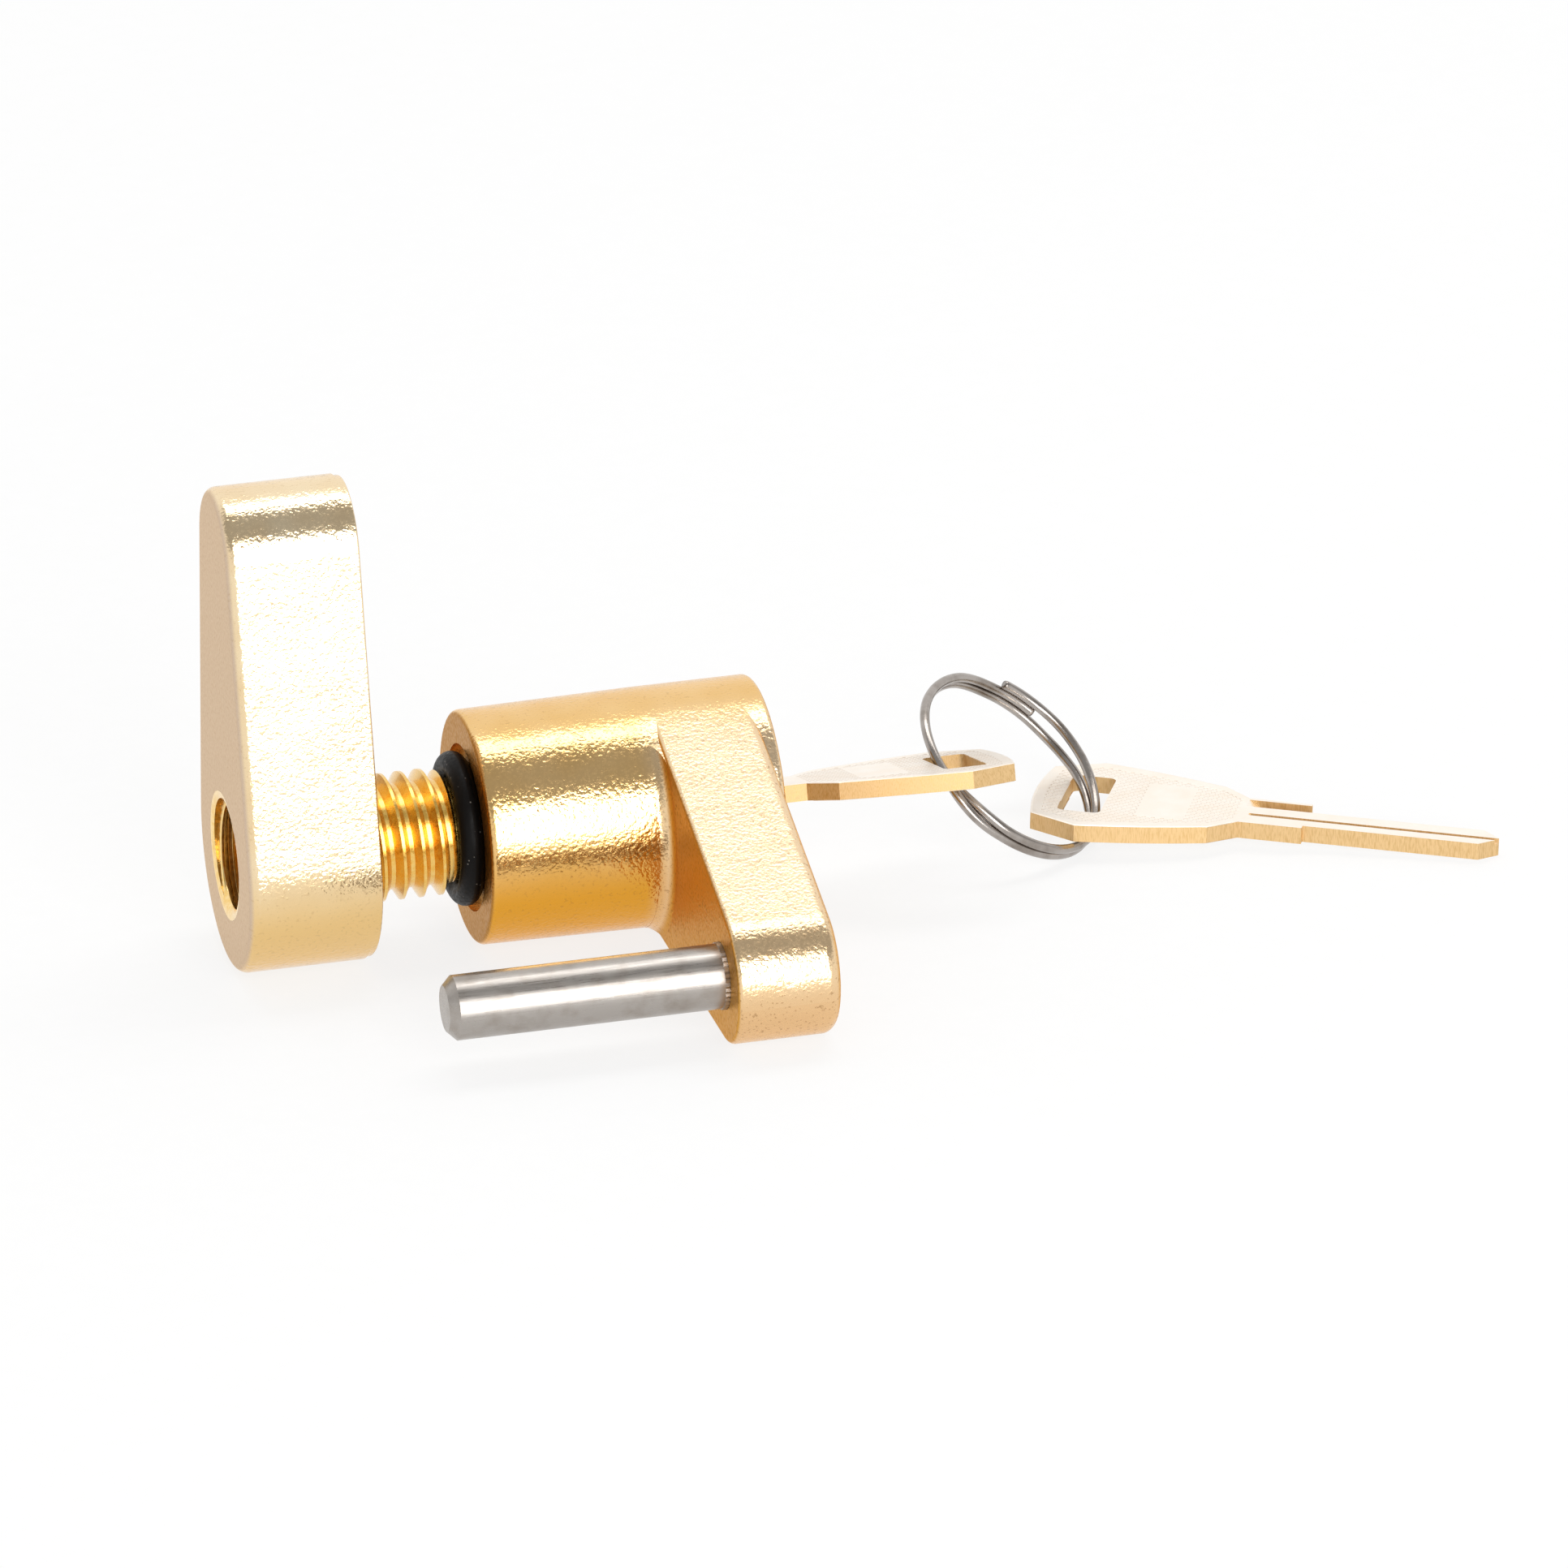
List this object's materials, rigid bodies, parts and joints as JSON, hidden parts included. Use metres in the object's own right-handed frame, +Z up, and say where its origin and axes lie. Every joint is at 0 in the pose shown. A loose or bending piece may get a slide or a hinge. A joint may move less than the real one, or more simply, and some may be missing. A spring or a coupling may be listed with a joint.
{
  "type": "keyed coupler clamp lock",
  "caption": "Keyed clamp lock: barrel with teardrop arm and plain steel shackle pin, clamp block on a threaded bolt that the key screws in, spare key on a split ring.",
  "frame": {"origin": "on the shackle pin's axis, half way along its free length, in the middle of the latch gap", "axes": "+X along the lock's axis towards the key, -X the way a mate leaves the pin, +Z up from the table"},
  "size_m": [0.1267, 0.0563, 0.0497],
  "materials": {
    "plated_zinc": "bright gold-tone plating on cast zinc",
    "plated_bolt": "bright gold-tone plating",
    "pin_steel": "drawn steel",
    "seal_rubber": "black rubber",
    "key_brass": "stamped brass, bright faces",
    "ring_steel": "nickel-plated spring wire",
    "inner_brass": "turned",
    "inner_steel": "plain",
    "spring_steel": "drawn wire"
  },
  "bodies": {
    "body": {"lock_body": "plated_zinc", "shackle_pin": "pin_steel", "cylinder_shell": "inner_brass", "cylinder_retaining_pin": "inner_steel", "chamber_cover": "inner_brass", "driver_spring_1": "spring_steel", "driver_spring_2": "spring_steel", "driver_spring_3": "spring_steel", "driver_spring_4": "spring_steel", "driver_spring_5": "spring_steel"},
    "carrier": {"thrust_washer": "inner_steel", "bolt_seal": "seal_rubber"},
    "rotor": {"threaded_bolt": "plated_bolt", "cylinder_plug": "inner_brass", "plug_clip": "inner_steel", "key_pin_1": "inner_brass", "key_pin_2": "inner_brass", "key_pin_3": "inner_brass", "key_pin_4": "inner_brass", "key_pin_5": "inner_brass"},
    "clamp_block": {"clamp_block": "plated_zinc"},
    "key": {"lock_key": "key_brass"},
    "ring": {"key_ring": "ring_steel"},
    "spare": {"spare_key": "key_brass"},
    "driver_1": {"driver_pin_1": "inner_brass"},
    "driver_2": {"driver_pin_2": "inner_brass"},
    "driver_3": {"driver_pin_3": "inner_brass"},
    "driver_4": {"driver_pin_4": "inner_brass"},
    "driver_5": {"driver_pin_5": "inner_brass"}
  },
  "joints": [
    {"name": "block_swing", "type": "hinge", "parent": "body", "child": "carrier", "pos_m": [0.01375, 0.03073, 0.00512], "axis": [1, 0, 0], "range_deg": [-258.7, 101.3]},
    {"name": "bolt_turn", "type": "hinge", "parent": "carrier", "child": "rotor", "pos_m": [0.01375, 0.03073, 0.00512], "axis": [-1, 0, 0], "range_deg": [-721, 1441]},
    {"name": "block_travel", "type": "slide", "parent": "carrier", "child": "clamp_block", "axis": [1, 0, 0], "range_m": [-0.00391, 0.00782]},
    {"name": "key_withdraw", "type": "slide", "parent": "rotor", "child": "key", "axis": [1, 0, 0], "range_m": [0, 0.03]},
    {"name": "ring_swing", "type": "hinge", "parent": "key", "child": "ring", "pos_m": [0.04431, 0.03376, 0.00425], "axis": [0.2385, -0.7818, -0.5761], "range_deg": [-30, 30]},
    {"name": "spare_key_swing", "type": "hinge", "parent": "ring", "child": "spare", "pos_m": [0.06195, 0.04024, -0.00416], "axis": [0.0391, 0.8826, 0.4686], "range_deg": [0, 60]},
    {"name": "driver_1_slide", "type": "slide", "parent": "body", "child": "driver_1", "axis": [0, -0.2756, -0.9613], "range_m": [0, 0.0006], "stiffness_N_per_m": 60, "springref_m": -0.002, "deforming": ["driver_spring_1"]},
    {"name": "driver_2_slide", "type": "slide", "parent": "body", "child": "driver_2", "axis": [0, -0.2756, -0.9613], "range_m": [0, 0.0006], "stiffness_N_per_m": 60, "springref_m": -0.002, "deforming": ["driver_spring_2"]},
    {"name": "driver_3_slide", "type": "slide", "parent": "body", "child": "driver_3", "axis": [0, -0.2756, -0.9613], "range_m": [0, 0.0006], "stiffness_N_per_m": 60, "springref_m": -0.002, "deforming": ["driver_spring_3"]},
    {"name": "driver_4_slide", "type": "slide", "parent": "body", "child": "driver_4", "axis": [0, -0.2756, -0.9613], "range_m": [0, 0.0006], "stiffness_N_per_m": 60, "springref_m": -0.002, "deforming": ["driver_spring_4"]},
    {"name": "driver_5_slide", "type": "slide", "parent": "body", "child": "driver_5", "axis": [0, -0.2756, -0.9613], "range_m": [0, 0.0006], "stiffness_N_per_m": 60, "springref_m": -0.002, "deforming": ["driver_spring_5"]}
  ],
  "couplings": [
    {"joint": "bolt_turn", "follows": "block_travel", "rad_per_m": 3215.8}
  ]
}
